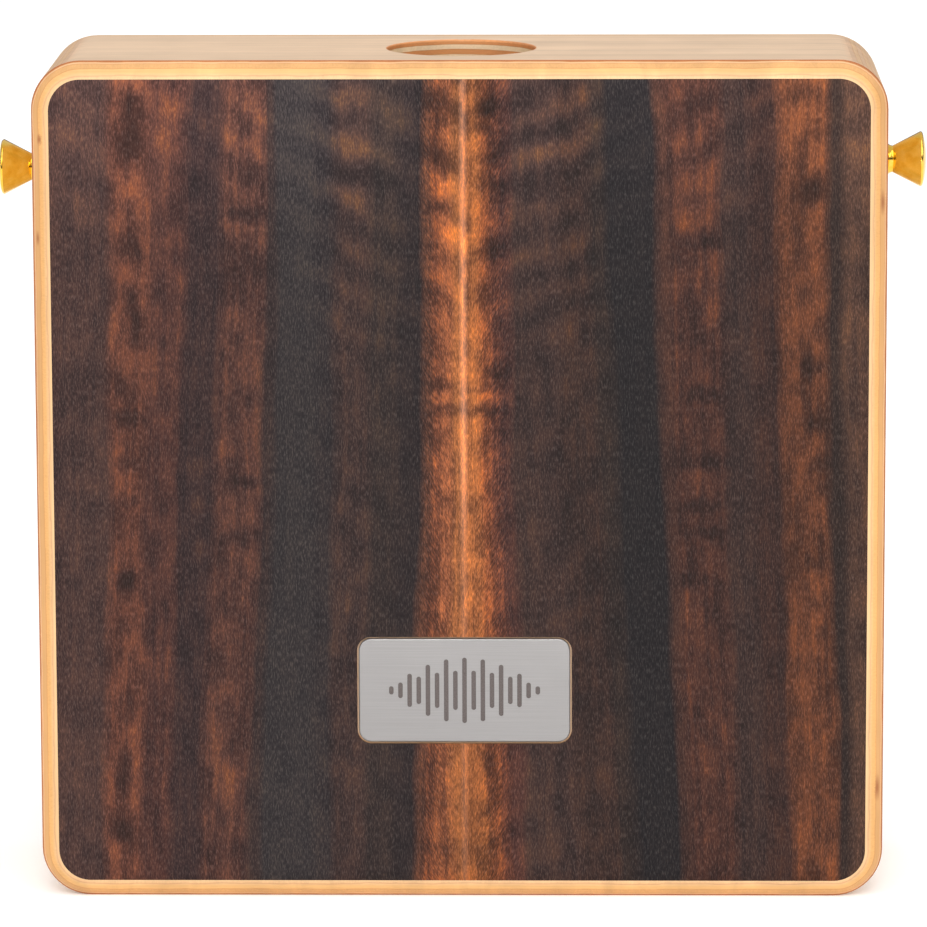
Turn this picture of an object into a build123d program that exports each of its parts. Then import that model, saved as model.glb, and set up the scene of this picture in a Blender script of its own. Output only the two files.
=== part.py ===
from build123d import *

import os

# A small snare cajon: a shallow plywood box with a veneered playing face.
# Sizes are in millimetres. The origin is at the middle of the underside. The playing face looks
# towards -Y, +X is on the right of someone who looks at that face, and +Z is up.

# ---- The box ----
body_width = 240.0
body_height = 240.0
body_depth = 70.0
corner_radius = 14.0
board_thickness = 10.0
back_thickness = 4.0
back_edge_round = 1.5
corner_block_leg = 12.0

# ---- The sound hole in the top board ----
sound_hole_diameter = 42.0
sound_hole_edge_round = 0.6

# ---- The playing face, called the tapa ----
tapa_thickness = 3.6
veneer_thickness = 0.42
veneer_joint_x = 1.0
tapa_edge_radius = 10.9
tapa_edge_width = 8.0

# ---- The inlaid badge ----
badge_width = 60.0
badge_height = 30.0
badge_thickness = 1.0
badge_corner_radius = 3.5
badge_edge_round = 0.4
badge_centre_z = 60.6
badge_recess = 0.05
badge_gap = 0.45
adhesive_thickness = 0.15
adhesive_margin = 1.5
engraving_depth = 0.14
engraved_bar_width = 1.3
engraved_bar_pitch = 2.6
engraved_bar_count = 17
engraved_bar_longest = 19.0
engraved_bar_shortest = 2.4
engraved_short_beat = 0.55

# ---- The strap buttons and what holds them ----
left_button_drop = 34.0
right_button_drop = 32.0
button_length = 12.1
button_flange_diameter = 12.9
button_flange_edge = 0.6
button_neck_diameter = 7.6
button_neck_place = 2.8
button_head_diameter = 15.7
button_head_place = 10.6
button_rim_place = 11.3
button_rim_inset = 0.5
button_hollow_sag = 0.7
button_rim_sag = 0.15
button_dome_sag = 0.12
button_bore_diameter = 4.2
screw_diameter = 3.5
screw_head_diameter = 7.4
screw_head_rise = 0.9
screw_head_proud = 0.2
screw_point_length = 4.0
screw_cross_length = 4.2
screw_cross_width = 0.9
screw_cross_depth = 1.5
screw_hole_clearance = 0.05
screw_seat_clearance = 0.02
screw_tip_cover = 3.0
strap_block_thickness = 12.0
strap_block_width = 26.0
strap_block_gap = 1.0

# ---- The tilting snare bar ----
snare_drop = 90.0
snare_bar_depth = 18.0
snare_bar_height = 12.0
snare_bar_edge_round = 1.2
snare_bar_end_play = 0.4
snare_tilt_range = 15.0
snare_rest_gap = 0.4
tenon_diameter = 8.0
tenon_reach = 5.5
bush_diameter = 12.0
bush_depth = 7.0
bush_flange_diameter = 14.0
bush_flange_thickness = 1.5
bush_running_clearance = 0.1
lever_diameter = 6.0
lever_height = 54.0
lever_socket_depth = 8.0
lever_setback = 4.0
lever_tip_round = 2.4
stop_width = 12.0
stop_setback = 4.0
stop_depth = 10.0
stop_height = 14.0
stop_clearance = 0.3

# ---- The snare wires and their plates ----
coil_diameter = 2.2
coil_length = 75.0
coil_pitch = 4.0
coil_count = 10
coil_start = -1.0
coil_set_offset = 55.0
plate_width = 54.0
plate_thickness = 0.8
plate_corner_radius = 2.0
plate_screw_inset = 3.5
plate_screw_diameter = 2.5
plate_screw_length = 10.0
plate_screw_head_diameter = 5.0
plate_screw_head_height = 1.5
plate_screw_slot_width = 0.7
plate_screw_slot_depth = 0.7

# ---- How close two sizes are to count as the same ----
size_tolerance = 0.01

# ---- Planes and places that follow from the sizes above ----
front_y = -body_depth / 2
back_y = body_depth / 2
veneer_back_y = front_y + veneer_thickness
tapa_back_y = front_y + tapa_thickness
back_panel_y = back_y - back_thickness
half_width = body_width / 2
inner_half_width = half_width - board_thickness
inner_bottom_z = board_thickness
inner_top_z = body_height - board_thickness
middle_z = body_height / 2
badge_back_y = front_y + badge_recess + badge_thickness
pocket_floor_y = badge_back_y + adhesive_thickness
plate_front_y = tapa_back_y + snare_rest_gap + coil_diameter
snare_bar_front_y = plate_front_y + plate_thickness
snare_axis_y = snare_bar_front_y + snare_bar_depth / 2
snare_axis_z = body_height - snare_drop
snare_bar_top_z = snare_axis_z + snare_bar_height / 2
snare_bar_half_length = inner_half_width - bush_flange_thickness - snare_bar_end_play

os.makedirs("parts", exist_ok=True)


def box_between(low, high):
    """A box from its lowest corner to its highest corner."""
    size = [far - near for near, far in zip(low, high)]
    centre = [(near + far) / 2 for near, far in zip(low, high)]
    return Pos(*centre) * Box(*size)


def upright_slab(width, height, radius, centre_x, centre_z, near_y, far_y):
    """A rounded rectangle that stands up, thick from near_y back to far_y."""
    plane = Plane(origin=(centre_x, far_y, centre_z), x_dir=(1, 0, 0), z_dir=(0, -1, 0))
    return extrude(plane * RectangleRounded(width, height, radius), amount=far_y - near_y)


def rod_along_x(radius, start_x, end_x, y, z):
    """A round rod that lies along X."""
    plane = Plane(origin=(start_x, y, z), z_dir=(1, 0, 0))
    return extrude(plane * Circle(radius), amount=end_x - start_x)


def rod_along_y(radius, start_y, end_y, x, z):
    """A round rod that lies along Y."""
    plane = Plane(origin=(x, start_y, z), z_dir=(0, 1, 0))
    return extrude(plane * Circle(radius), amount=end_y - start_y)


def rod_along_z(radius, start_z, end_z, x, y):
    """A round rod that stands along Z."""
    return extrude(Plane(origin=(x, y, start_z)) * Circle(radius), amount=end_z - start_z)


def on_side(side, piece):
    """The piece as it is on the right (+1), or mirrored to the left (-1)."""
    if side > 0:
        return piece
    return mirror(piece, about=Plane.YZ)


def save(name, *pieces):
    """Write one node's solids to its own file."""
    solids = [solid for piece in pieces for solid in piece.solids()]
    shape = solids[0] if len(solids) == 1 else Compound(children=solids)
    export_step(shape, f"parts/{name}.step")


def button_height(side):
    """How high the strap button on this side is set."""
    drop = right_button_drop if side > 0 else left_button_drop
    return body_height - drop


# ---- The shell: two full-height sides with the top and bottom boards between them ----
def shell_outline():
    """The whole ring's outside, filled, between the tapa and the back panel."""
    return upright_slab(
        body_width, body_height, corner_radius, 0, middle_z, tapa_back_y, back_panel_y
    )


def side_board(side):
    """One side, with the hole for the strap button's screw and the pocket for a bush."""
    room = box_between((inner_half_width, front_y, 0), (half_width, back_y, body_height))
    board = shell_outline() & room
    screw_hole = screw_diameter / 2 + screw_hole_clearance
    board -= rod_along_x(screw_hole, inner_half_width, half_width, 0, button_height(side))
    board -= rod_along_x(
        bush_diameter / 2, inner_half_width, inner_half_width + bush_depth, snare_axis_y, snare_axis_z
    )
    return on_side(side, board)


def level_board(low_z, high_z):
    """The top or the bottom board, which butts between the two sides."""
    room = box_between((-inner_half_width, front_y, low_z), (inner_half_width, back_y, high_z))
    return shell_outline() & room


def top_board():
    """The top board with the round sound hole, both its edges eased."""
    board = level_board(inner_top_z, body_height)
    board -= rod_along_z(sound_hole_diameter / 2, inner_top_z, body_height, 0, 0)
    hole_edges = board.edges().filter_by(GeomType.CIRCLE).filter_by(
        lambda edge: abs(edge.radius - sound_hole_diameter / 2) < size_tolerance
    )
    return fillet(hole_edges, sound_hole_edge_round)


def corner_block(side, is_top):
    """A triangular glue block in one inside corner of the ring."""
    wall_z = inner_top_z if is_top else inner_bottom_z
    inward = -corner_block_leg if is_top else corner_block_leg
    triangle = Polyline(
        (inner_half_width, tapa_back_y, wall_z),
        (inner_half_width - corner_block_leg, tapa_back_y, wall_z),
        (inner_half_width, tapa_back_y, wall_z + inward),
        close=True,
    )
    block = extrude(make_face(triangle), amount=back_panel_y - tapa_back_y, dir=(0, 1, 0))
    return on_side(side, block)


def back_panel():
    """The closed back, with its outside edge rounded."""
    panel = upright_slab(body_width, body_height, corner_radius, 0, middle_z, back_panel_y, back_y)
    rim = panel.faces().sort_by(Axis.Y)[-1].edges()
    return fillet(rim, back_edge_round)


# ---- The tapa: thin plywood under two bookmatched sheets of dark veneer ----
def tapa_blank():
    """The whole tapa, its front edge sanded to a wide round that cuts through the veneer."""
    overhang = 2 * (tapa_edge_radius - tapa_edge_width)
    cutter = upright_slab(
        body_width + overhang,
        body_height + overhang,
        corner_radius + overhang / 2,
        0,
        middle_z,
        front_y,
        front_y + 2 * tapa_edge_radius,
    )
    front_rim = cutter.faces().sort_by(Axis.Y)[0].edges()
    cutter = fillet(front_rim, tapa_edge_radius)
    plate = upright_slab(
        body_width, body_height, corner_radius, 0, middle_z, front_y, tapa_back_y
    )
    pocket = upright_slab(
        badge_width + 2 * badge_gap,
        badge_height + 2 * badge_gap,
        badge_corner_radius + badge_gap,
        veneer_joint_x,
        badge_centre_z,
        front_y,
        pocket_floor_y,
    )
    return (plate & cutter) - pocket


def tapa_layer(low_x, high_x, near_y, far_y):
    """The part of the tapa between two widths and two depths."""
    return tapa_blank() & box_between((low_x, near_y, 0), (high_x, far_y, body_height))


# ---- The badge: a bare metal plate in a pocket, with a plain row of engraved bars ----
def engraved_bars():
    """Upright bars with round ends, tallest in the middle, like the picture of a sound."""
    bars = []
    middle = (engraved_bar_count - 1) / 2
    for index in range(engraved_bar_count):
        place = (index - middle) / middle
        beat = 1.0 if index % 2 == 0 else engraved_short_beat
        height = engraved_bar_shortest + (engraved_bar_longest - engraved_bar_shortest) * (
            beat * (1 - place**2)
        )
        bars.append(
            upright_slab(
                engraved_bar_width,
                height,
                engraved_bar_width / 2 - size_tolerance,
                veneer_joint_x + place * middle * engraved_bar_pitch,
                badge_centre_z,
                front_y,
                front_y + badge_recess + engraving_depth,
            )
        )
    return bars


def badge_plate():
    """The plate itself, its front edge rounded and its face engraved."""
    plate = upright_slab(
        badge_width,
        badge_height,
        badge_corner_radius,
        veneer_joint_x,
        badge_centre_z,
        front_y + badge_recess,
        badge_back_y,
    )
    plate = fillet(plate.faces().sort_by(Axis.Y)[0].edges(), badge_edge_round)
    return plate - engraved_bars()


def badge_adhesive():
    """The sheet of double-sided adhesive that holds the plate in its pocket."""
    return upright_slab(
        badge_width - 2 * adhesive_margin,
        badge_height - 2 * adhesive_margin,
        badge_corner_radius - adhesive_margin,
        veneer_joint_x,
        badge_centre_z,
        badge_back_y,
        pocket_floor_y,
    )


# ---- The strap buttons, turned from bar and screwed through the sides ----
def screw_head_edge():
    """How far out from the shell the widest part of the screw's head lies."""
    return button_length + screw_head_proud - screw_head_rise


def spun_about_x(profile, side):
    """Spin a closed outline, given as X from the shell's side and radius, about its own axis."""
    turned = revolve(make_face(profile), axis=Axis.X)
    return on_side(side, Pos(half_width, 0, button_height(side)) * turned)


def strap_button(side):
    """A flange, a hollow neck, a cone that opens outwards and a low domed end."""
    bore = button_bore_diameter / 2
    flange = button_flange_diameter / 2
    head = button_head_diameter / 2
    sink = screw_head_diameter / 2 + screw_seat_clearance
    seat_x = screw_head_edge()
    flange_edge = (button_flange_edge, flange)
    neck = (button_neck_place, button_neck_diameter / 2)
    cone_end = (button_head_place, head)
    rim = (button_rim_place, head - button_rim_inset)
    mouth = (button_length, sink)
    outline = (
        Polyline((0, bore), (0, flange), flange_edge)
        + SagittaArc(flange_edge, neck, -button_hollow_sag)
        + Line(neck, cone_end)
        + SagittaArc(cone_end, rim, button_rim_sag)
        + SagittaArc(rim, mouth, button_dome_sag)
        + Polyline(mouth, (seat_x, sink), (seat_x - (sink - bore), bore), (0, bore))
    )
    return spun_about_x(Plane.XZ * outline, side)


def strap_button_screw(side):
    """A raised countersunk wood screw with a cross in its head."""
    shank = screw_diameter / 2
    head = screw_head_diameter / 2
    head_edge = screw_head_edge()
    head_top = head_edge + screw_head_rise
    tip = screw_tip_cover - board_thickness - strap_block_thickness
    dome_radius = (head**2 + screw_head_rise**2) / (2 * screw_head_rise)
    outline = (
        Polyline(
            (head_top, 0),
            (tip, 0),
            (tip + screw_point_length, shank),
            (head_edge - (head - shank), shank),
            (head_edge, head),
        )
        + RadiusArc((head_edge, head), (head_top, 0), dome_radius)
    )
    screw = spun_about_x(Plane.XZ * outline, side)
    cross_x = half_width + head_top - screw_cross_depth / 2
    cross_place = Pos(side * cross_x, 0, button_height(side))
    bar = Box(screw_cross_depth, screw_cross_width, screw_cross_length)
    screw -= cross_place * bar
    return screw - cross_place * Rot(90, 0, 0) * bar


def strap_block(side):
    """A wooden block glued inside the side board, where the screw bites."""
    drop = body_height - button_height(side)
    half_height = drop - board_thickness - corner_block_leg - strap_block_gap
    centre_z = button_height(side)
    block = box_between(
        (inner_half_width - strap_block_thickness, -strap_block_width / 2, centre_z - half_height),
        (inner_half_width, strap_block_width / 2, centre_z + half_height),
    )
    hole = screw_diameter / 2 + screw_hole_clearance
    hole_end = inner_half_width - strap_block_thickness + screw_tip_cover - screw_hole_clearance
    block -= rod_along_x(hole, hole_end, inner_half_width, 0, centre_z)
    return on_side(side, block)


# ---- The snare bar, which turns in two bushes and carries everything on it ----
def snare_bar():
    """A beech bar with a turned tenon on each end and a socket for the lever."""
    bar = box_between(
        (-snare_bar_half_length, snare_bar_front_y, snare_axis_z - snare_bar_height / 2),
        (snare_bar_half_length, snare_bar_front_y + snare_bar_depth, snare_bar_top_z),
    )
    bar = fillet(bar.edges().filter_by(Axis.X).sort_by(Axis.Y)[-2:], snare_bar_edge_round)
    tenon_end = inner_half_width + tenon_reach
    bar += rod_along_x(tenon_diameter / 2, -tenon_end, tenon_end, snare_axis_y, snare_axis_z)
    bar -= rod_along_z(
        lever_diameter / 2,
        snare_bar_top_z - lever_socket_depth,
        snare_bar_top_z,
        0,
        snare_axis_y + lever_setback,
    )
    for x, z in plate_screw_places(+1) + plate_screw_places(-1):
        bar -= rod_along_y(
            plate_screw_diameter / 2,
            snare_bar_front_y,
            snare_bar_front_y + plate_screw_length - plate_thickness,
            x,
            z,
        )
    return bar


def snare_bush(side):
    """A flanged nylon bush, pressed into its pocket in the side board."""
    bush = rod_along_x(
        bush_diameter / 2, inner_half_width, inner_half_width + bush_depth, snare_axis_y, snare_axis_z
    )
    bush += rod_along_x(
        bush_flange_diameter / 2,
        inner_half_width - bush_flange_thickness,
        inner_half_width,
        snare_axis_y,
        snare_axis_z,
    )
    bush -= rod_along_x(
        tenon_diameter / 2 + bush_running_clearance,
        inner_half_width - bush_flange_thickness,
        inner_half_width + bush_depth,
        snare_axis_y,
        snare_axis_z,
    )
    return on_side(side, bush)


def snare_lever():
    """A beech peg under the sound hole, which a finger pushes to tilt the bar."""
    lever = rod_along_z(
        lever_diameter / 2,
        snare_bar_top_z - lever_socket_depth,
        snare_bar_top_z - lever_socket_depth + lever_height,
        0,
        snare_axis_y + lever_setback,
    )
    tip = lever.faces().sort_by(Axis.Z)[-1].edges()
    return fillet(tip, lever_tip_round)


def snare_stop(side):
    """A small block under the bar's back edge, cut to the bar's slope when it is tilted back."""
    top_z = snare_axis_z - snare_bar_height / 2
    block = box_between(
        (inner_half_width - stop_width, snare_axis_y + stop_setback, top_z - stop_height),
        (inner_half_width, snare_axis_y + stop_setback + stop_depth, top_z),
    )
    reach = snare_bar_depth + stop_setback + stop_depth
    swung_bar = box_between(
        (0, -reach, -snare_bar_height / 2 - stop_clearance), (body_width, reach, reach)
    )
    swung_bar = Pos(0, snare_axis_y, snare_axis_z) * Rot(-snare_tilt_range, 0, 0) * swung_bar
    return on_side(side, block - swung_bar)


# ---- The snare wires: close-wound coils soldered to a plate on each half of the bar ----
def plate_screw_places(side):
    """Where a plate's two screws go, as X and Z."""
    reach = plate_width / 2 - plate_screw_inset
    middle = side * coil_set_offset
    return [(middle - reach, snare_axis_z), (middle + reach, snare_axis_z)]


def snare_plate(side):
    """A steel strip on the front of the bar, as tall as the bar."""
    plate = upright_slab(
        plate_width,
        snare_bar_height,
        plate_corner_radius,
        side * coil_set_offset,
        snare_axis_z,
        plate_front_y,
        snare_bar_front_y,
    )
    for x, z in plate_screw_places(side):
        plate -= rod_along_y(plate_screw_diameter / 2, plate_front_y, snare_bar_front_y, x, z)
    return plate


def plate_screw(x, z):
    """A slotted cheese-head screw that holds a plate to the bar."""
    radius = plate_screw_diameter / 2
    head_front_y = plate_front_y - plate_screw_head_height
    screw = rod_along_y(radius, plate_front_y, plate_front_y + plate_screw_length, x, z)
    screw += rod_along_y(plate_screw_head_diameter / 2, head_front_y, plate_front_y, x, z)
    slot = Box(plate_screw_head_diameter, plate_screw_slot_depth, plate_screw_slot_width)
    return screw - Pos(x, head_front_y + plate_screw_slot_depth / 2, z) * slot


def snare_coils(side):
    """The outer shapes of the close-wound coils, side by side."""
    coils = []
    start_z = snare_axis_z + coil_start
    for index in range(coil_count):
        x = side * coil_set_offset + (index - (coil_count - 1) / 2) * coil_pitch
        y = plate_front_y - coil_diameter / 2
        coils.append(rod_along_z(coil_diameter / 2, start_z, start_z + coil_length, x, y))
    return coils


# ---- Every node, written to its own file ----
save("top_board", top_board())
save("bottom_board", level_board(0, inner_bottom_z))
save("back_panel", back_panel())
save("tapa_plywood", tapa_layer(-half_width, half_width, veneer_back_y, tapa_back_y))
save("tapa_veneer_left", tapa_layer(-half_width, veneer_joint_x, front_y, veneer_back_y))
save("tapa_veneer_right", tapa_layer(veneer_joint_x, half_width, front_y, veneer_back_y))
save("badge_plate", badge_plate())
save("badge_adhesive", badge_adhesive())
save("snare_bar", snare_bar())
save("snare_lever", snare_lever())
for side, word in ((-1, "left"), (+1, "right")):
    save(f"side_board_{word}", side_board(side))
    save(f"corner_block_top_{word}", corner_block(side, True))
    save(f"corner_block_bottom_{word}", corner_block(side, False))
    save(f"strap_button_{word}", strap_button(side))
    save(f"strap_button_screw_{word}", strap_button_screw(side))
    save(f"strap_button_block_{word}", strap_block(side))
    save(f"snare_bar_bush_{word}", snare_bush(side))
    save(f"snare_stop_{word}", snare_stop(side))
    save(f"snare_end_plate_{word}", snare_plate(side))
    save(f"snare_coils_{word}", *snare_coils(side))
all_screw_places = plate_screw_places(-1) + plate_screw_places(+1)
save("snare_plate_screws", *[plate_screw(x, z) for x, z in all_screw_places])
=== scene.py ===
import math

import bmesh
import bpy
from mathutils import Matrix, Vector


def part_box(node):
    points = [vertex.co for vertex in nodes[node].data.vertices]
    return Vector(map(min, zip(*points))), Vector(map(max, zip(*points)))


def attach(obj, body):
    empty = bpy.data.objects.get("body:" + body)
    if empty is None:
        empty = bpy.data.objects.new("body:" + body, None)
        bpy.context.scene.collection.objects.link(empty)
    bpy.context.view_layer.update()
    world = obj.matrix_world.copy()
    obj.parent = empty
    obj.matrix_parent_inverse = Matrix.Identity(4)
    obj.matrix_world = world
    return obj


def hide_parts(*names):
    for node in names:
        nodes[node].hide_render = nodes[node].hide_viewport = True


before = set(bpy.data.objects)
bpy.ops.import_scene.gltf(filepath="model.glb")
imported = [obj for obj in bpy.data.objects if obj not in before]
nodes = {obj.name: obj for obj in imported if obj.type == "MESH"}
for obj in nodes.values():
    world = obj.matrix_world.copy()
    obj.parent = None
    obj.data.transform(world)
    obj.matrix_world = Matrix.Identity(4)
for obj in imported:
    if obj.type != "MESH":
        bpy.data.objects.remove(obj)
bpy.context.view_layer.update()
mm = 0.001


# ---------------------------------------------------------------------------
# The camera: a long lens a little under two metres away, a touch to the right
# of the middle and looking ten degrees down, so that the top board shows.
# ---------------------------------------------------------------------------
lens_data = bpy.data.cameras.new("studio_camera")
lens_data.sensor_width = 36
lens_data.lens = 240
lens_data.clip_start = 0.05
lens_data.clip_end = 60
camera = bpy.data.objects.new("studio_camera", lens_data)
camera.location = (0.0360, -1.7503, 0.4354)
camera.rotation_euler = (math.radians(79.78), math.radians(0.2), math.radians(1.135))
bpy.context.scene.collection.objects.link(camera)
bpy.context.scene.camera = camera


# ---------------------------------------------------------------------------
# The studio: a pale seamless floor under a white tent, with one broad soft
# light high overhead and four lamps, low and high in front and on either side.
# ---------------------------------------------------------------------------
def linear(hex_colour):
    """An sRGB hex colour as linear light, with alpha."""
    parts = [int(hex_colour[i : i + 2], 16) / 255 for i in (1, 3, 5)]
    return [c / 12.92 if c <= 0.04045 else ((c + 0.055) / 1.055) ** 2.4 for c in parts] + [1.0]


def new_material(name):
    """An empty material: its node tree and the Principled shader that ends it."""
    material = bpy.data.materials.new(name)
    material.use_nodes = True
    tree = material.node_tree
    return material, tree, tree.nodes["Principled BSDF"]


def add_node(tree, kind, inputs=None, stops=None, **settings):
    """Adds one node. Inputs are plain values or the sockets that feed them; stops fill a ramp."""
    made = tree.nodes.new("ShaderNode" + kind)
    for name, value in settings.items():
        setattr(made, name, value)
    if stops:
        ramp = made.color_ramp
        while len(ramp.elements) < len(stops):
            ramp.elements.new(1.0)
        for element, (place, colour) in zip(ramp.elements, stops):
            element.position = place
            element.color = linear(colour) if isinstance(colour, str) else (colour,) * 3 + (1,)
    for name, value in (inputs or {}).items():
        if isinstance(value, bpy.types.NodeSocket):
            tree.links.new(value, made.inputs[name])
        else:
            made.inputs[name].default_value = value
    return made


bpy.context.scene.view_settings.view_transform = "Standard"

# The sky is a white tent with a dim band just over the horizon, which metal needs to look round.
world = bpy.data.worlds.new("studio_sky")
world.use_nodes = True
sky_tree = world.node_tree
look_way = add_node(sky_tree, "TexCoord").outputs["Generated"]
look_up = add_node(sky_tree, "SeparateXYZ", {0: look_way}).outputs["Z"]
sky_colour = add_node(
    sky_tree,
    "ValToRGB",
    {0: look_up},
    stops=[(0.0, "#8a8884"), (0.1, "#5c5a58"), (0.2, "#6e6c6a"), (0.34, "#fbfbfd")],
).outputs[0]
sky = sky_tree.nodes["Background"]
sky_tree.links.new(sky_colour, sky.inputs["Color"])
sky.inputs["Strength"].default_value = 0.72
bpy.context.scene.world = world

# A broad, even light from high in front, like a bank of diffused lamps.
sun_data = bpy.data.lights.new("diffused_overhead", "SUN")
sun_data.energy = 1.35
sun_data.angle = math.radians(70)
sun = bpy.data.objects.new("diffused_overhead", sun_data)
sun.rotation_euler = (math.radians(32), 0, math.radians(8))
bpy.context.scene.collection.objects.link(sun)

for name, place, width, height, watts in (
    ("soft_light_low_front", (0.1, -1.9, 0.22), 0.5, 0.3, 6),
    ("soft_light_high_front", (0.0, -1.7, 1.1), 0.3, 0.3, 5),
    ("soft_light_left", (-1.5, -0.9, 0.8), 0.4, 0.9, 5),
    ("soft_light_right", (1.6, -0.6, 1.0), 0.4, 0.9, 4),
):
    light_data = bpy.data.lights.new(name, "AREA")
    light_data.shape = "RECTANGLE"
    light_data.size = width
    light_data.size_y = height
    light_data.energy = watts
    light = bpy.data.objects.new(name, light_data)
    light.location = place
    aim = Vector((0, 0, 0.12)) - Vector(place)
    light.rotation_euler = aim.to_track_quat("-Z", "Y").to_euler()
    bpy.context.scene.collection.objects.link(light)

floor_sheet = bmesh.new()
bmesh.ops.create_grid(floor_sheet, x_segments=1, y_segments=1, size=12)
floor_mesh = bpy.data.meshes.new("studio_floor")
floor_sheet.to_mesh(floor_mesh)
floor_sheet.free()
floor = bpy.data.objects.new("studio_floor", floor_mesh)
bpy.context.scene.collection.objects.link(floor)

# The floor is a matt acrylic sheet with a little light coming up through it, so shadows stay faint.
floor_paint, tree, shader = new_material("matt_white_acrylic_backdrop")
shader.inputs["Base Color"].default_value = linear("#fcfcfb")
shader.inputs["Roughness"].default_value = 0.9
shader.inputs["Emission Color"].default_value = linear("#ffffff")
shader.inputs["Emission Strength"].default_value = 0.12
floor_mesh.materials.append(floor_paint)


# ---------------------------------------------------------------------------
# The shell: two full-height side boards with the top and the bottom boards
# butted between them, all of 10 mm birch plywood, seven plies thick, sanded
# round at the corners after gluing and finished with satin lacquer.
# ---------------------------------------------------------------------------
def own_size(tree):
    """Where a point lies on its own piece, in millimetres."""
    place = add_node(tree, "TexCoord")
    return add_node(
        tree, "VectorMath", {0: place.outputs["Object"], "Scale": 1 / mm}, operation="SCALE"
    ).outputs[0]


def grained(tree, vector, stretch, detail=3.0, roughness=0.6, distortion=0.0):
    """A noise drawn out to the given size in millimetres along X, Y and Z."""
    drawn = add_node(tree, "Mapping", {"Vector": vector, "Scale": [1 / s for s in stretch]})
    grain = {"Scale": 1.0, "Detail": detail, "Roughness": roughness, "Distortion": distortion}
    return add_node(tree, "TexNoise", {"Vector": drawn.outputs[0], **grain}).outputs[0]


def spot_reach(tree, vector, x, z, half_width, half_height):
    """How far a point lies from the middle of an oval spot, where 1 is on the oval."""
    centred = add_node(
        tree,
        "Mapping",
        {
            "Vector": vector,
            "Location": (-x / half_width, 0, -z / half_height),
            "Scale": (1 / half_width, 0, 1 / half_height),
        },
    )
    reach = add_node(tree, "VectorMath", {0: centred.outputs[0]}, operation="LENGTH")
    return reach.outputs["Value"]


# A noise seldom leaves this range, so tones and gloss are spread over it.
usual_low, usual_high = 0.3, 0.7
usual = {"From Min": usual_low, "From Max": usual_high}

# Lacquered birch is a pale pinkish cream on its face. Cut across the grain it drinks in more
# lacquer and turns orange-brown.
birch_face = "#e6c6a5"
glue_along, glue_across = "#cf9158", "#bd7f4a"
glue_wander = 0.3
glue_blur = 0.12
knot_brown = "#8c4a26"


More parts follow.
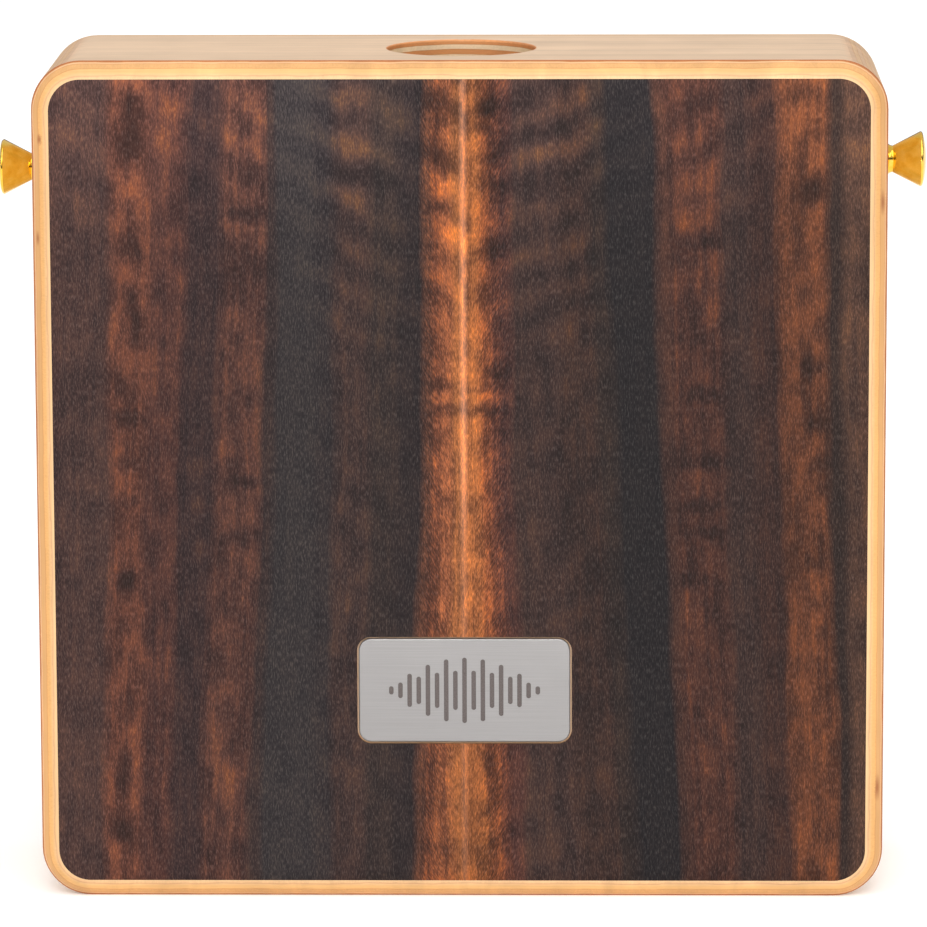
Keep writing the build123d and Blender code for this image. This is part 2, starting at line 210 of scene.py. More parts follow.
def make_plywood(name, through, near_face, thickness, face_grain, plies, knots=()):
    """Plywood as a solid: plies stacked along one axis, each with its grain across the last.

    plies lists, from the near face, where each ply starts in millimetres and how its cut edge
    looks where the cut runs along its grain and where it runs across its grain. A knot is where
    its middle lies along X and Z, and its half width and half height.
    """
    material, tree, shader = new_material(name)
    size = own_size(tree)
    where = add_node(tree, "SeparateXYZ", {0: size})
    facing = add_node(tree, "SeparateXYZ", {0: add_node(tree, "TexCoord").outputs["Normal"]})
    cross_grain = next(axis for axis in "XYZ" if axis not in (through, face_grain))

    # The glue lines wander by a tenth of a millimetre or so in each centimetre.
    wander = add_node(tree, "TexNoise", {"Vector": size, "Scale": 0.09, "Detail": 3.0}).outputs[0]
    faces = {"From Min": near_face, "From Max": near_face + thickness}
    depth = add_node(tree, "MapRange", {"Value": where.outputs[through], **faces}).outputs[0]
    drift = glue_wander / abs(thickness)
    shift = add_node(
        tree, "MapRange", {"Value": wander, "To Min": -drift, "To Max": drift}
    ).outputs[0]
    ply_place = add_node(tree, "Math", {0: depth, 1: shift}, operation="ADD").outputs[0]

    # Thin, darker glue lines part the plies.
    blur = glue_blur / abs(thickness)
    along_stops, across_stops, turn_stops = [], [], []
    for index, (start, along_colour, across_colour) in enumerate(plies):
        begin = start / abs(thickness)
        if index:
            along_stops += [(begin - blur, last_along), (begin, glue_along)]
            across_stops += [(begin - blur, last_across), (begin, glue_across)]
        along_stops.append((begin + blur, along_colour))
        across_stops.append((begin + blur, across_colour))
        turn_stops.append((begin, float(index % 2)))
        last_along, last_across = along_colour, across_colour
    along = add_node(tree, "ValToRGB", {0: ply_place}, stops=along_stops).outputs[0]
    across = add_node(tree, "ValToRGB", {0: ply_place}, stops=across_stops).outputs[0]
    turn_ramp = add_node(tree, "ValToRGB", {0: ply_place}, stops=turn_stops)
    turn_ramp.color_ramp.interpolation = "CONSTANT"
    turn = turn_ramp.outputs[0]

    # How squarely this surface cuts the grain of the ply that it shows.
    squareness = [
        add_node(tree, "Math", {0: facing.outputs[axis], 1: 2.0}, operation="POWER").outputs[0]
        for axis in (face_grain, cross_grain, through)
    ]
    cut = add_node(
        tree, "MixRGB", {"Fac": turn, "Color1": squareness[0], "Color2": squareness[1]}
    ).outputs[0]
    edge = add_node(tree, "MixRGB", {"Fac": cut, "Color1": along, "Color2": across}).outputs[0]
    on_face = add_node(
        tree, "MapRange", {"Value": squareness[2], "From Min": 0.8, "From Max": 0.97}
    ).outputs[0]
    toned = add_node(
        tree, "MixRGB", {"Fac": on_face, "Color1": edge, "Color2": linear(birch_face)}
    ).outputs[0]

    # Birch has fine straight fibres 0.5 mm across, and a slow soft figure of early and late wood.
    along_face, along_cross = [
        grained(tree, size, [30.0 if a == axis else 0.5 for a in "XYZ"])
        for axis in (face_grain, cross_grain)
    ]
    fibre = add_node(
        tree, "MixRGB", {"Fac": turn, "Color1": along_face, "Color2": along_cross}
    ).outputs[0]
    figure_size = [200.0 if a == face_grain else 9.0 for a in "XYZ"]
    figure = grained(tree, size, figure_size, detail=4.0, roughness=0.5, distortion=1.1)
    cloud = grained(tree, size, (20.0, 20.0, 20.0), detail=4.0)
    for field, low, high in ((fibre, 0.93, 1.05), (figure, 0.88, 1.06), (cloud, 0.93, 1.04)):
        tone = add_node(
            tree, "MapRange", {"Value": field, **usual, "To Min": low, "To Max": high}
        ).outputs[0]
        toned = add_node(
            tree, "VectorMath", {0: toned, "Scale": tone}, operation="SCALE"
        ).outputs[0]
    for x, z, half_width, half_height in knots:
        reach = spot_reach(tree, size, x, z, half_width, half_height)
        ragged = add_node(
            tree, "Math", {0: fibre, 1: 0.9, 2: reach}, operation="MULTIPLY_ADD"
        ).outputs[0]
        knotty = add_node(
            tree,
            "MapRange",
            {"Value": ragged, "From Min": 0.6, "From Max": 1.5, "To Min": 0.75, "To Max": 0.0},
        ).outputs[0]
        toned = add_node(
            tree, "MixRGB", {"Fac": knotty, "Color1": toned, "Color2": linear(knot_brown)}
        ).outputs[0]
    tree.links.new(toned, shader.inputs["Base Color"])

    gloss = add_node(
        tree, "MapRange", {"Value": fibre, **usual, "To Min": 0.5, "To Max": 0.38}
    ).outputs[0]
    tree.links.new(gloss, shader.inputs["Roughness"])
    raised = add_node(tree, "Bump", {"Height": fibre, "Strength": 0.25, "Distance": 0.03 * mm})
    tree.links.new(raised.outputs[0], shader.inputs["Normal"])
    shader.inputs["IOR"].default_value = 1.5
    shader.inputs["Specular IOR Level"].default_value = 0.3
    return material


def wear_material(node, material):
    """Gives a CAD node a new finish in place of the one that it came with."""
    mesh = nodes[node].data
    mesh.materials.clear()
    mesh.materials.append(material)


ply_step = 10 / 7
side_plies = [
    (ply_step * index, "#ddb78e", "#d3a684" if index % 2 else "#d9b494") for index in range(7)
]
for side, word in ((-1, "left"), (+1, "right")):
    side_plywood = make_plywood(
        f"lacquered_birch_plywood_side_{word}", "X", 120 * side, -10 * side, "Z", side_plies
    )
    wear_material(f"side_board_{word}", side_plywood)
level_plies = [
    (ply_step * index, "#f3d3a6" if index % 2 else "#e09a62", "#fbdcb4" if index % 2 else "#d98a50")
    for index in range(7)
]
for node, near_face, thickness in (("top_board", 240, -10), ("bottom_board", 0, 10)):
    level_plywood = make_plywood(
        f"lacquered_birch_plywood_{node}", "Z", near_face, thickness, "X", level_plies
    )
    wear_material(node, level_plywood)


# ---------------------------------------------------------------------------
# The back panel: 4 mm birch plywood of three plies, glued on and rounded over
# along its outside edge.
# ---------------------------------------------------------------------------
back_plies = [(0.0, "#e2bf98", "#d6a673"), (1.2, "#e6c6a0", "#c98c5c"), (2.8, "#e2bf98", "#d6a673")]
back_plywood = make_plywood("lacquered_birch_plywood_back", "Y", 35, -4, "Z", back_plies)
wear_material("back_panel", back_plywood)


# ---------------------------------------------------------------------------
# The playing face's core: thin plywood. The wide sanded round cuts its plies
# at a slant, so they show as broad pale and orange bands around the veneer.
# ---------------------------------------------------------------------------
tapa_plies = [
    (0.0, "#e8b26e", "#e6b987"),
    (0.78, "#e3b173", "#dc8f3e"),
    (1.75, "#d39f66", "#d8a56b"),
    (2.7, "#dfb386", "#d9ab7f"),
    (3.1, "#a9653a", "#b5713f"),
]
tapa_knots = [
    (-117.6, 218, 0.8, 1.8),
    (118.6, 200, 0.8, 4.0),
    (118.4, 32, 0.9, 4.0),
    (-118.5, 190, 0.6, 2.5),
]
tapa_plywood = make_plywood(
    "lacquered_tapa_plywood", "Y", -35, 3.6, "Z", tapa_plies, tapa_knots
)
wear_material("tapa_plywood", tapa_plywood)


# ---------------------------------------------------------------------------
# The playing face's veneer: two sheets sliced one after the other from a dark
# streaky log and opened like a book, so the streaks mirror about the joint.
# Sanded level and sprayed with satin lacquer.
# ---------------------------------------------------------------------------
joint_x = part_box("tapa_veneer_right")[0].x / mm
leaf_reach = 120
leaf_height = 240

# Every streak, from the joint outwards at half the height: where it ends in millimetres, its
# colour, how strongly the figure shows in it, and how many millimetres it leans outwards
# between the top and the bottom.
streak_colour, streak_figure, streak_lean = 1, 2, 3
most_lean = 16
left_streaks = [
    (3.5, "#b26b3c", 0.8, 0), (7, "#a55f3b", 0.9, 2), (9.5, "#82492f", 0.9, 4),
    (11.5, "#6a402e", 0.7, 5), (19, "#302424", 0.45, 5), (27, "#392b28", 0.55, 4),
    (37, "#432f2b", 0.75, 3), (42, "#352c2d", 0.5, 2), (54, "#373031", 0.3, 4),
    (57.5, "#3b2b29", 0.5, 9), (70, "#58362d", 1.0, 8), (80.5, "#3c2827", 0.6, 9),
    (90, "#52312a", 0.8, 7), (100, "#673c2e", 1.0, 4), (120, "#4e3530", 0.6, 4),
]
right_streaks = [
    (5, "#b36938", 0.8, 0), (8, "#95522f", 1.0, 3), (10.5, "#73402d", 1.0, 4),
    (14, "#55322a", 0.7, 4), (28, "#432e29", 0.6, 5), (38, "#3d2822", 0.75, 9),
    (43.5, "#332521", 0.6, 13), (57, "#231d1f", 0.25, 11), (60, "#4a2d24", 0.6, 10),
    (74, "#4e2d23", 1.0, 8), (82, "#402b26", 0.6, 6), (90, "#3d251f", 0.7, 6),
    (103, "#6a3c25", 1.0, 6), (107.5, "#36251f", 0.4, 6), (120, "#553a2e", 0.7, 4),
]
# Swirls and cross bands where the grain dips under the surface: how far out and how high their
# middle is, their half width and half height, and how much lighter (+) or darker (-) they are.
left_swirls = [
    (4.0, 145, 8.0, 1.8, 0.4), (2.0, 152, 3.0, 7.0, 0.2), (60, 178, 6.0, 9.0, -0.3),
    (33, 168, 8.0, 8.0, 0.25), (4, 226, 9.0, 18.0, -0.45), (27, 208, 14.0, 6.0, -0.38),
    (24, 221, 12.0, 6.0, 0.3), (93, 220, 5.0, 13.0, -0.65), (93, 189, 4.0, 9.0, -0.46),
    (93, 169, 4.0, 9.5, -0.46), (95, 139, 5.0, 4.5, -0.51), (95, 126, 4.5, 4.0, -0.46),
    (95, 115, 4.0, 3.0, -0.38), (96, 92, 4.5, 4.0, -0.55), (97, 37, 4.0, 7.0, -0.51),
    (98, 20, 4.0, 4.5, -0.46), (82, 222, 5.0, 12.0, 0.36), (5.5, 223, 3.5, 2.6, -0.42),
    (6.0, 211, 3.5, 4.5, -0.42), (5.0, 200, 4.5, 2.8, -0.46), (2.5, 206, 2.5, 3.5, 0.42),
    (2.5, 193, 3.0, 3.5, 0.42), (6.0, 149, 6.0, 2.2, -0.33), (5.0, 141, 9.0, 2.2, -0.46),
    (62, 197, 9.0, 3.0, -0.42), (62, 121, 8.0, 2.4, -0.38), (63, 105, 9.0, 4.0, -0.42),
    (75, 125, 4.0, 5.0, 0.48), (75, 113, 4.0, 4.5, 0.48), (75, 101, 4.0, 4.5, 0.48),
    (74, 207, 4.0, 11.0, -0.29),
]
right_swirls = [
    (6.0, 145, 9.0, 1.8, 0.45), (12, 182, 8.0, 12.0, 0.25), (30, 120, 9.0, 22.0, -0.2),
    (86, 216, 3.0, 9.0, 0.4), (5, 226, 9.0, 18.0, -0.38), (26, 204, 14.0, 5.0, -0.38),
    (26, 213, 14.0, 5.0, 0.38), (6.5, 229, 4.5, 5.0, -0.42), (7.0, 221, 5.0, 2.6, -0.42),
    (7.0, 206, 6.0, 3.8, -0.55), (5.0, 216, 5.0, 4.5, 0.42), (5.0, 197, 5.5, 5.5, 0.42),
    (8.0, 187, 6.0, 6.0, -0.38), (9.0, 152, 5.0, 3.0, -0.38), (5.0, 141, 10.0, 2.2, -0.55),
    (97, 204, 6.0, 6.0, -0.75), (98, 154, 5.0, 4.5, -0.51), (99, 137, 4.0, 3.5, -0.42),
    (101, 126, 4.5, 3.2, -0.42), (99, 98, 4.0, 4.0, -0.42), (101, 77, 3.5, 3.2, -0.33),
    (66, 189, 9.0, 3.4, -0.42), (63, 196, 9.0, 5.0, 0.36), (67, 146, 8.0, 3.4, -0.42),
    (69, 126, 10.0, 3.0, -0.42), (67, 114, 8.0, 3.0, -0.38), (68, 106, 8.0, 2.8, -0.38),
    (66, 92, 8.0, 3.4, -0.33), (77, 222, 3.5, 9.0, -0.33), (76, 190, 5.0, 11.0, -0.33),
]


def streak_stops(streaks, column, soft, scale=1.0):
    """Ramp stops for one column of the streak list, flat along each streak with soft edges."""
    stops, start = [], 0.0
    for streak in streaks:
        end, value = streak[0], streak[column]
        value = value if isinstance(value, str) else value / scale
        edge = min(soft, 0.3 * (end - start))
        stops.append(((start + edge) / leaf_reach, value))
        stops.append(((end - edge) / leaf_reach, value))
        start = end
    return stops


# The ripples' spacing in millimetres, how much they rise away from the joint, and their bends.
ripple_spacing = 13.2
ripple_rise = 0.48
ripple_bend = 12.0
# How far the hairs sway and the swirls' edges fray, in millimetres, and the herringbone's slope.
hair_sway = 2.6
swirl_fray = 4.5
herring_slope = 0.5
# A figure of one makes the wood this many times lighter. Lacquer brings out all of it by the
# next number, and the last one is how bright the painted sheen along the joint is.
figure_contrast = 5.0
lacquer_gain = 1.9
joint_sheen_gain = 0.12

for side, word, streaks, swirls in (
    (-1, "left", left_streaks, left_swirls),
    (+1, "right", right_streaks, right_swirls),
):
    veneer, tree, shader = new_material(f"satin_lacquered_dark_veneer_{word}")
    where = add_node(tree, "SeparateXYZ", {0: own_size(tree)})
    up = where.outputs["Z"]
    out = add_node(
        tree, "Math", {0: where.outputs["X"], 1: side, 2: -side * joint_x}, operation="MULTIPLY_ADD"
    ).outputs[0]
    out_share = add_node(tree, "Math", {0: out, 1: leaf_reach}, operation="DIVIDE").outputs[0]
    up_share = add_node(tree, "Math", {0: up, 1: leaf_height}, operation="DIVIDE").outputs[0]
    # Each sheet reads its own slice through the figure, a little apart in depth.
    leaf = add_node(tree, "CombineXYZ", {"X": out, "Y": 2.5 * side, "Z": up}).outputs[0]

    # The streaks lean outwards towards the bottom, more so low down, and wander a little.
    lean_stops = streak_stops(streaks, streak_lean, 2.0, scale=most_lean)
    lean = add_node(tree, "ValToRGB", {0: out_share}, stops=lean_stops).outputs[0]
    half_way = 0.4
    how_low = add_node(
        tree, "ValToRGB", {0: up_share}, stops=[(0.04, 1.0), (0.5, half_way), (0.98, 0.0)]
    ).outputs[0]
    from_middle = add_node(tree, "Math", {0: how_low, 1: half_way}, operation="SUBTRACT").outputs[0]
    leaned = add_node(tree, "Math", {0: from_middle, 1: lean}, operation="MULTIPLY").outputs[0]
    straight = add_node(
        tree, "Math", {0: leaned, 1: -most_lean, 2: out}, operation="MULTIPLY_ADD"
    ).outputs[0]
    slow = grained(tree, leaf, (14, 8, 50), roughness=0.5)
    wander = add_node(
        tree, "MapRange", {"Value": slow, **usual, "To Min": -1.2, "To Max": 1.2}
    ).outputs[0]
    streak_place = add_node(tree, "Math", {0: straight, 1: wander}, operation="ADD").outputs[0]
    share = add_node(tree, "Math", {0: streak_place, 1: leaf_reach}, operation="DIVIDE").outputs[0]
    colour_stops = streak_stops(streaks, streak_colour, 1.5)
    wood = add_node(tree, "ValToRGB", {0: share}, stops=colour_stops).outputs[0]
    figure_stops = streak_stops(streaks, streak_figure, 1.5)
    figured = add_node(tree, "ValToRGB", {0: share}, stops=figure_stops).outputs[0]

    # Ripples: soft bands that rise away from the joint, strongest near the top.
    bend = grained(tree, leaf, (22, 9, 34), detail=2.0, roughness=0.5)
    rise = add_node(
        tree, "Math", {0: out, 1: -ripple_rise, 2: up}, operation="MULTIPLY_ADD"
    ).outputs[0]
    turns = add_node(
        tree, "Math", {0: rise, 1: 2 * math.pi / ripple_spacing}, operation="MULTIPLY"
    ).outputs[0]
    phase = add_node(
        tree, "Math", {0: bend, 1: ripple_bend, 2: turns}, operation="MULTIPLY_ADD"
    ).outputs[0]
    ripple = add_node(tree, "Math", {0: phase}, operation="SINE").outputs[0]
    ripple_height = add_node(
        tree,
        "MapRange",
        {"Value": up, "From Min": 150.0, "From Max": 215.0, "To Min": 0.1, "To Max": 0.42},
    ).outputs[0]
    ripple_reach = add_node(
        tree,
        "ValToRGB",
        {0: out_share},
        stops=[(0.05, 0.7), (0.14, 1.0), (0.36, 0.9), (0.46, 0.3), (0.9, 0.3)],
    ).outputs[0]
    ripple_share = add_node(
        tree, "Math", {0: ripple_height, 1: ripple_reach}, operation="MULTIPLY"
    ).outputs[0]
    rippled = add_node(tree, "Math", {0: ripple, 1: ripple_share}, operation="MULTIPLY").outputs[0]

    # Blotches about 5 mm wide and 12 mm tall, and hair lines that run the height of the sheet.
    blotch = grained(tree, leaf, (5, 4, 11))
    blotched = add_node(
        tree, "MapRange", {"Value": blotch, **usual, "To Min": -0.38, "To Max": 0.34}
    ).outputs[0]
    line_from = add_node(
        tree, "CombineXYZ", {"X": streak_place, "Y": 1.0 * side, "Z": up}
    ).outputs[0]
    line = grained(tree, line_from, (1.3, 1.0, 60), detail=2.0)
    lined = add_node(
        tree, "MapRange", {"Value": line, **usual, "To Min": -0.2, "To Max": 0.2}
    ).outputs[0]

    # Fibres and pores: pale hairs 0.3 mm across and 1.5 mm long that sway from side to side.
    sway = grained(tree, leaf, (6, 6, 10), detail=1.0, roughness=0.5)
    swayed = add_node(
        tree, "Math", {0: sway, 1: hair_sway, 2: out}, operation="MULTIPLY_ADD"
    ).outputs[0]
    fibre_from = add_node(tree, "CombineXYZ", {"X": swayed, "Y": 3.0 * side, "Z": up}).outputs[0]
    fibre = grained(tree, fibre_from, (0.32, 1.0, 1.6), detail=2.0, roughness=0.65)
    fibred = add_node(
        tree,
        "MapRange",
        {"Value": fibre, "From Min": 0.4, "From Max": 0.68, "To Min": -0.2, "To Max": 0.32},
    ).outputs[0]

    # Beside the joint the hairs lie aslant, leaning outwards as they rise, like a herringbone.
    slant = add_node(
        tree, "Math", {0: up, 1: -herring_slope, 2: out}, operation="MULTIPLY_ADD"
    ).outputs[0]
    slant_from = add_node(tree, "CombineXYZ", {"X": slant, "Y": 7.0 * side, "Z": up}).outputs[0]
    slanted = grained(tree, slant_from, (0.5, 1.0, 2.2), detail=1.0, roughness=0.5)
    herringbone = add_node(
        tree,
        "MapRange",
        {"Value": slanted, "From Min": 0.35, "From Max": 0.65, "To Min": 0.2, "To Max": -0.4},
    ).outputs[0]
    herring_share = add_node(
        tree,
        "ValToRGB",
        {0: out_share},
        stops=[(0.01, 0.1), (0.04, 0.5), (0.085, 0.9), (0.13, 0.0)],
    ).outputs[0]
    herring = add_node(
        tree, "Math", {0: herringbone, 1: herring_share}, operation="MULTIPLY"
    ).outputs[0]

    # The swirls have frayed edges, and the fibres show through them.
    fray = grained(tree, leaf, (3, 5, 4), roughness=0.65).node.outputs["Color"]
    fray_centred = add_node(
        tree, "VectorMath", {0: fray, 1: (0.5, 0.5, 0.5)}, operation="SUBTRACT"
    ).outputs[0]
    swirl_from = add_node(
        tree,
        "VectorMath",
        {0: fray_centred, 1: (swirl_fray, 0.0, swirl_fray), 2: leaf},
        operation="MULTIPLY_ADD",
    ).outputs[0]
    figure = rippled
    for out_at, up_at, half_width, half_height, amount in swirls:
        reach = spot_reach(tree, swirl_from, out_at, up_at, half_width, half_height)
        swirl = add_node(
            tree,
            "MapRange",
            {"Value": reach, "From Min": 0.15, "From Max": 1.2, "To Min": amount, "To Max": 0.0},
            interpolation_type="SMOOTHSTEP",
        ).outputs[0]
        figure = add_node(tree, "Math", {0: figure, 1: swirl}, operation="ADD").outputs[0]

    # Each of these makes the wood so many times lighter or darker, the figured streaks most.
    for part in (blotched, lined):
        figure = add_node(tree, "Math", {0: figure, 1: part}, operation="ADD").outputs[0]
    evened = add_node(tree, "Math", {0: figure, 1: figured}, operation="MULTIPLY").outputs[0]
    # A pale line along the joint is painted sheen, strongest in the upper half. It also lightens
    # the figure right beside the joint.
    joint_edge = add_node(
        tree, "ValToRGB", {0: out_share}, stops=[(0.0, 1.0), (0.003, 0.8), (0.011, 0.0)]
    ).outputs[0]
    joint_shine = add_node(
        tree,
        "ValToRGB",
        {0: up_share},
        stops=[(0.04, 0.15), (0.42, 0.2), (0.52, 0.5), (0.72, 0.5), (0.98, 0.4)],
    ).outputs[0]
    joint_sheen = add_node(
        tree, "Math", {0: joint_edge, 1: joint_shine}, operation="MULTIPLY"
    ).outputs[0]
    for part in (fibred, herring, joint_sheen):
        evened = add_node(tree, "Math", {0: evened, 1: part}, operation="ADD").outputs[0]
    times = add_node(tree, "Math", {0: figure_contrast, 1: evened}, operation="POWER").outputs[0]

    # The wood's overall tone is set by height. A painted reflection of bright surroundings in the
    # lacquer makes it paler towards the top. A narrow strip on each side of the joint has its own,
    # flatter ramp.
    tone_and_painted_haze = add_node(
        tree,
        "ValToRGB",
        {0: up_share},
        stops=[(0.04, 0.35), (0.35, 0.31), (0.6, 0.31), (0.8, 0.36), (0.9, 0.5), (0.98, 0.56)],
    ).outputs[0]
    by_joint = add_node(
        tree, "ValToRGB", {0: out_share}, stops=[(0.07, 1.0), (0.12, 0.0)]
    ).outputs[0]
    joint_tone_and_painted_haze = add_node(
        tree,
        "ValToRGB",
        {0: up_share},
        stops=[(0.04, 0.25), (0.22, 0.3), (0.4, 0.37), (0.6, 0.34), (0.8, 0.3), (0.98, 0.33)],
    ).outputs[0]
    tone_with_painted_haze = add_node(
        tree, "MixRGB", {"Fac": by_joint, "Color1": tone_and_painted_haze, "Color2": joint_tone_and_painted_haze}
    ).outputs[0]
    lit = add_node(tree, "Math", {0: tone_with_painted_haze, 1: times}, operation="MULTIPLY").outputs[0]
    gain = add_node(tree, "Math", {0: lit, 1: lacquer_gain}, operation="MULTIPLY").outputs[0]
    lit_wood = add_node(tree, "VectorMath", {0: wood, "Scale": gain}, operation="SCALE").outputs[0]

    # Where the light catches the figure it turns from brown to amber.
    glow = add_node(tree, "MapRange", {"Value": times, "From Min": 0.5, "From Max": 2.4}).outputs[0]
    amber = add_node(
        tree, "ValToRGB", {0: glow}, stops=[(0.0, "#ececf6"), (0.25, "#fffdfa"), (1.0, "#ffe8a8")]
    ).outputs[0]
    warm_wood = add_node(
        tree, "VectorMath", {0: lit_wood, 1: amber}, operation="MULTIPLY"
    ).outputs[0]

    # Lacquer fills the pores. Where they catch the light they show as greyish hairs on pale and
    # dark wood alike, painted highlights.
    # The painted sheen along the joint is added here too, as a pale line that follows the edge.
    hair_glints = add_node(
        tree,
        "MapRange",
        {"Value": fibre, "From Min": 0.5, "From Max": 0.72, "To Min": 0.002, "To Max": 0.026},
    ).outputs[0]
    painted_glints_and_sheen = add_node(
        tree, "Math", {0: joint_sheen, 1: joint_sheen_gain, 2: hair_glints}, operation="MULTIPLY_ADD"
    ).outputs[0]
    finished = add_node(
        tree, "VectorMath", {0: warm_wood, 1: painted_glints_and_sheen}, operation="ADD"
    ).outputs[0]
    tree.links.new(finished, shader.inputs["Base Color"])
    shader.inputs["Roughness"].default_value = 0.5
    shader.inputs["IOR"].default_value = 1.5
    shader.inputs["Specular IOR Level"].default_value = 0.12
    raised = add_node(tree, "Bump", {"Height": fibre, "Strength": 0.25, "Distance": 0.03 * mm})
    tree.links.new(raised.outputs[0], shader.inputs["Normal"])
    wear_material(f"tapa_veneer_{word}", veneer)


# ---------------------------------------------------------------------------
# The badge: a small stainless plate let in flush with the veneer on a film of
# adhesive, its face brushed along its length and its engraved bars filled dark.
# ---------------------------------------------------------------------------
def tone_stops(tones):
    """Ramp stops that spread a row of tones evenly over the usual range of a noise."""
    step = (usual_high - usual_low) / (len(tones) - 1)
    return [(usual_low + step * index, tone) for index, tone in enumerate(tones)]


badge_low, badge_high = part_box("badge_plate")
badge_middle_x = (badge_low.x + badge_high.x) / 2 / mm
badge_middle_z = (badge_low.z + badge_high.z) / 2 / mm
# Brushing leaves fine scratches along the plate, which blur its highlights across them.
steel, tree, shader = new_material("brushed_stainless_steel_with_filled_engraving")
size = own_size(tree)
brushing = grained(tree, size, (30.0, 1.0, 0.14))
smear = grained(tree, size, (18.0, 8.0, 7.0))
steel_tone = add_node(
    tree, "ValToRGB", {0: brushing}, stops=tone_stops(["#8d8a88", "#93908f", "#9a9795"])
).outputs[0]
# Whatever lies deeper than the face, and within the row of bars, holds the dark filling.
filling_top = badge_low.y / mm + 0.05
bars_reach_x = 27.0
bars_reach_z = 12.0
where = add_node(tree, "SeparateXYZ", {0: size})
filled = add_node(
    tree, "Math", {0: where.outputs["Y"], 1: filling_top}, operation="GREATER_THAN"
).outputs[0]
for axis, middle, reach in (
    ("X", badge_middle_x, bars_reach_x),
    ("Z", badge_middle_z, bars_reach_z),
):
    inside = add_node(
        tree, "Math", {0: where.outputs[axis], 1: middle, 2: reach}, operation="COMPARE"
    ).outputs[0]
    filled = add_node(tree, "Math", {0: filled, 1: inside}, operation="MULTIPLY").outputs[0]
enamel_grain = grained(tree, size, (0.4, 0.4, 0.4))
enamel_tone = add_node(
    tree, "ValToRGB", {0: enamel_grain}, stops=tone_stops(["#4a403d", "#5e534f"])
).outputs[0]
plate_tone = add_node(
    tree, "MixRGB", {"Fac": filled, "Color1": steel_tone, "Color2": enamel_tone}
).outputs[0]
tree.links.new(plate_tone, shader.inputs["Base Color"])
bare = add_node(tree, "Math", {0: 1.0, 1: filled}, operation="SUBTRACT").outputs[0]
tree.links.new(bare, shader.inputs["Metallic"])
brushed = add_node(
    tree, "MapRange", {"Value": brushing, **usual, "To Min": 0.3, "To Max": 0.46}
).outputs[0]
smeared = add_node(
    tree, "MapRange", {"Value": smear, **usual, "To Min": -0.04, "To Max": 0.05}
).outputs[0]
haze = add_node(tree, "Math", {0: brushed, 1: smeared}, operation="ADD").outputs[0]
tree.links.new(haze, shader.inputs["Roughness"])
scratches = add_node(tree, "Bump", {"Height": brushing, "Strength": 0.2, "Distance": 0.01 * mm})
tree.links.new(scratches.outputs[0], shader.inputs["Normal"])
wear_material("badge_plate", steel)

# Only the film's edge shows, amber like the wood behind it and clouded by trapped air.
film, tree, shader = new_material("clear_acrylic_adhesive_film")
size = own_size(tree)
trapped_air = grained(tree, size, (1.2, 1.2, 1.2))
film_tone = add_node(
    tree,
    "ValToRGB",
    {0: trapped_air},
    stops=[(usual_low, "#b07a48"), (0.58, "#c89460"), (usual_high, "#dcbb92")],
).outputs[0]
tree.links.new(film_tone, shader.inputs["Base Color"])
film_haze = add_node(
    tree, "MapRange", {"Value": trapped_air, **usual, "To Min": 0.15, "To Max": 0.4}
).outputs[0]
tree.links.new(film_haze, shader.inputs["Roughness"])
wear_material("badge_adhesive", film)


# ---------------------------------------------------------------------------
# The strap buttons: turned brass with polished gold plating, each held by a
# raised countersunk screw plated to match. Fine rings are left by the lathe.
# ---------------------------------------------------------------------------
# Polished plating is a rich yellow mirror, dulled a little where it has been handled.
gold, tree, shader = new_material("polished_gold_plating_on_turned_brass")
size = own_size(tree)
lathe_rings = grained(tree, size, (0.16, 60.0, 60.0), detail=2.0)
handling = grained(tree, size, (3.0, 3.0, 3.0))
gold_tone = add_node(
    tree, "ValToRGB", {0: handling}, stops=tone_stops(["#ecb437", "#f6c64c", "#fbd168"])
).outputs[0]
tree.links.new(gold_tone, shader.inputs["Base Color"])
shader.inputs["Metallic"].default_value = 1.0
handled = add_node(
    tree, "MapRange", {"Value": handling, **usual, "To Min": 0.07, "To Max": 0.15}
).outputs[0]
ringed = add_node(
    tree, "MapRange", {"Value": lathe_rings, **usual, "To Min": -0.02, "To Max": 0.05}
).outputs[0]
polish = add_node(tree, "Math", {0: handled, 1: ringed}, operation="ADD").outputs[0]
tree.links.new(polish, shader.inputs["Roughness"])
rings = add_node(tree, "Bump", {"Height": lathe_rings, "Strength": 0.2, "Distance": 0.01 * mm})
tree.links.new(rings.outputs[0], shader.inputs["Normal"])
for word in ("left", "right"):
    wear_material(f"strap_button_{word}", gold)
    wear_material(f"strap_button_screw_{word}", gold)


# ---------------------------------------------------------------------------
# Inside the box: spruce glue blocks in the corners, spruce blocks behind the
# strap buttons and spruce stops for the snare bar, all left bare.
# ---------------------------------------------------------------------------
def make_solid_wood(name, ring, fibre_size, tones, roughness):
    """Bare wood: growth rings, then fibres, each drawn out to a size in millimetres."""
    material, tree, shader = new_material(name)
    size = own_size(tree)
    rings = grained(tree, size, ring)
    fibres = grained(tree, size, fibre_size)
    mixed = add_node(tree, "MixRGB", {"Fac": 0.4, "Color1": rings, "Color2": fibres}).outputs[0]
    tone = add_node(tree, "ValToRGB", {0: mixed}, stops=tone_stops(tones)).outputs[0]
    tree.links.new(tone, shader.inputs["Base Color"])
    dull, shiny = roughness + 0.08, roughness - 0.08
    gloss = add_node(
        tree, "MapRange", {"Value": fibres, **usual, "To Min": dull, "To Max": shiny}
    ).outputs[0]
    tree.links.new(gloss, shader.inputs["Roughness"])
    raised = add_node(tree, "Bump", {"Height": fibres, "Strength": 0.35, "Distance": 0.06 * mm})
    tree.links.new(raised.outputs[0], shader.inputs["Normal"])
    shader.inputs["Specular IOR Level"].default_value = 0.3
    return material


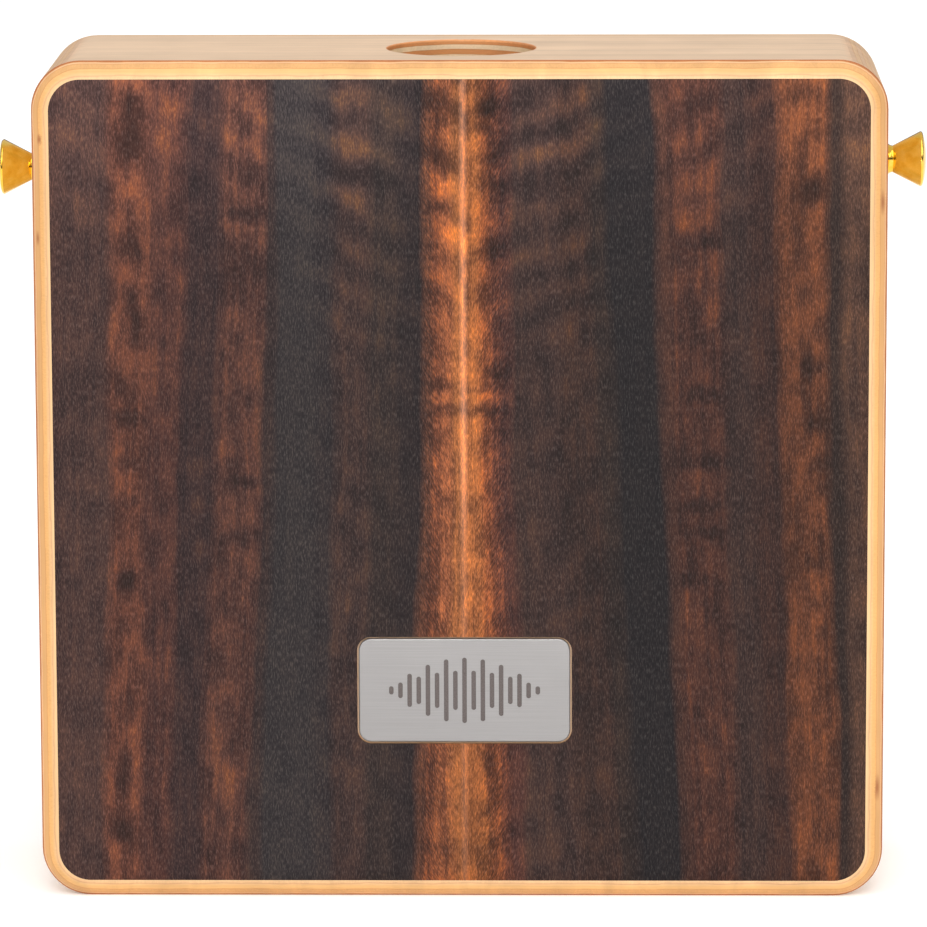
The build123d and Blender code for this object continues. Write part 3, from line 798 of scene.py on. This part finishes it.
# Bare spruce is pale honey with darker growth rings 2 mm apart, and hardly shines.
spruce_tones = ("#b98850", "#dcb47c", "#eccf9e", "#f1d9ae")
spruce_down = make_solid_wood(
    "bare_spruce_grain_upright", (2.2, 2.6, 90.0), (0.3, 0.3, 9.0), spruce_tones, 0.68
)
spruce_across = make_solid_wood(
    "bare_spruce_grain_front_to_back", (2.2, 90.0, 2.6), (0.3, 9.0, 0.3), spruce_tones, 0.68
)
for word in ("left", "right"):
    for level in ("top", "bottom"):
        wear_material(f"corner_block_{level}_{word}", spruce_across)
    wear_material(f"strap_button_block_{word}", spruce_down)
    wear_material(f"snare_stop_{word}", spruce_across)


# ---------------------------------------------------------------------------
# The snare bar: planed beech with a turned tenon at each end, and the beech
# dowel that a finger pushes. The tenons turn in moulded nylon bushes.
# ---------------------------------------------------------------------------
# Oiled beech is warmer and pinker, with short fine flecks and a low sheen.
beech_tones = ("#a9764c", "#c8986a", "#d6ab7f", "#dfba92")
beech_bar = make_solid_wood(
    "oiled_beech_grain_along_bar", (80.0, 2.4, 3.0), (4.0, 0.35, 0.35), beech_tones, 0.5
)
beech_dowel = make_solid_wood(
    "oiled_beech_grain_along_dowel", (2.4, 3.0, 80.0), (0.35, 0.35, 4.0), beech_tones, 0.5
)
wear_material("snare_bar", beech_bar)
wear_material("snare_lever", beech_dowel)

# Moulded nylon is milky ivory with a soft sheen, faintly pitted by its mould.
nylon, tree, shader = new_material("moulded_natural_nylon")
size = own_size(tree)
flow = grained(tree, size, (5.0, 5.0, 5.0))
pitting = grained(tree, size, (0.25, 0.25, 0.25))
nylon_tone = add_node(
    tree, "ValToRGB", {0: flow}, stops=tone_stops(["#d9d2bf", "#ece7d8"])
).outputs[0]
tree.links.new(nylon_tone, shader.inputs["Base Color"])
nylon_gloss = add_node(
    tree, "MapRange", {"Value": pitting, **usual, "To Min": 0.34, "To Max": 0.5}
).outputs[0]
tree.links.new(nylon_gloss, shader.inputs["Roughness"])
pits = add_node(tree, "Bump", {"Height": pitting, "Strength": 0.2, "Distance": 0.02 * mm})
tree.links.new(pits.outputs[0], shader.inputs["Normal"])
for word in ("left", "right"):
    wear_material(f"snare_bar_bush_{word}", nylon)


# ---------------------------------------------------------------------------
# The snare wires: ten fine coils of spring steel wire a side, soldered at
# their upper ends to a zinc plated steel plate that two screws hold to the bar.
# ---------------------------------------------------------------------------
def make_bright_metal(name, cloud_size, mark_size, tones, roughness):
    """Bare or plated metal: slow clouds in its colour and finer marks in its shine."""
    material, tree, shader = new_material(name)
    size = own_size(tree)
    clouds = grained(tree, size, cloud_size)
    marks = grained(tree, size, mark_size)
    tone = add_node(tree, "ValToRGB", {0: clouds}, stops=tone_stops(tones)).outputs[0]
    tree.links.new(tone, shader.inputs["Base Color"])
    shader.inputs["Metallic"].default_value = 1.0
    shiny, dull = roughness - 0.07, roughness + 0.07
    gloss = add_node(
        tree, "MapRange", {"Value": marks, **usual, "To Min": shiny, "To Max": dull}
    ).outputs[0]
    tree.links.new(gloss, shader.inputs["Roughness"])
    dents = add_node(tree, "Bump", {"Height": marks, "Strength": 0.2, "Distance": 0.01 * mm})
    tree.links.new(dents.outputs[0], shader.inputs["Normal"])
    return material


# Zinc plating has a bluish and yellowish bloom under a soft shine.
zinc = make_bright_metal(
    "zinc_plated_steel", (2.5, 2.5, 2.5), (0.5, 0.5, 0.5), ("#b9bfc4", "#c9ccca", "#d6d3c2"), 0.34
)
for word in ("left", "right"):
    wear_material(f"snare_end_plate_{word}", zinc)
wear_material("snare_plate_screws", zinc)

# Drawn wire is polished by its die, which leaves marks only along it.
spring_wire = make_bright_metal(
    "bright_drawn_spring_steel", (6.0, 6.0, 6.0), (0.1, 0.1, 2.0), ("#a8abaf", "#c4c6c8"), 0.24
)
coils_a_side = 10
wire_radius = 0.26 * mm
wire_sides = 5
turn_steps = 9
turn_pitch = 0.75 * mm

# One coil stands on the origin: the wire's round end, swept around and up by small steps. Its
# turns part by a quarter of a millimetre, so that each can be seen.
coils_low, coils_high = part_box("snare_coils_left")
coil_reach = (coils_high.y - coils_low.y) / 2
wire_middle = coil_reach - wire_radius
turns = (coils_high.z - coils_low.z - 2 * wire_radius) / turn_pitch
wire = bmesh.new()
bmesh.ops.create_circle(
    wire,
    cap_ends=True,
    segments=wire_sides,
    radius=wire_radius,
    matrix=Matrix.Translation((0, -wire_middle, wire_radius))
    @ Matrix.Rotation(math.radians(90), 4, "Y"),
)
bmesh.ops.spin(
    wire,
    geom=wire.faces[:],
    axis=(0, 0, 1),
    dvec=(0, 0, turn_pitch / turn_steps),
    angle=2 * math.pi * turns,
    steps=round(turns * turn_steps),
)
bmesh.ops.recalc_face_normals(wire, faces=wire.faces[:])
one_coil = bpy.data.meshes.new("one_snare_coil")
wire.to_mesh(one_coil)
wire.free()

for word in ("left", "right"):
    low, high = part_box(f"snare_coils_{word}")
    spacing = (high.x - low.x - 2 * coil_reach) / (coils_a_side - 1)
    wires = bmesh.new()
    for index in range(coils_a_side):
        already = len(wires.verts)
        wires.from_mesh(one_coil)
        place = Vector((low.x + coil_reach + index * spacing, (low.y + high.y) / 2, low.z))
        bmesh.ops.translate(wires, vec=place, verts=wires.verts[already:])
    for face in wires.faces:
        face.smooth = len(face.verts) == 4
    wires_mesh = bpy.data.meshes.new(f"snare_wires_{word}")
    wires.to_mesh(wires_mesh)
    wires.free()
    wires_mesh.materials.append(spring_wire)
    snare_wires = bpy.data.objects.new(f"snare_wires_{word}", wires_mesh)
    bpy.context.scene.collection.objects.link(snare_wires)
    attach(snare_wires, "snare")
    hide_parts(f"snare_coils_{word}")
bpy.data.meshes.remove(one_coil)
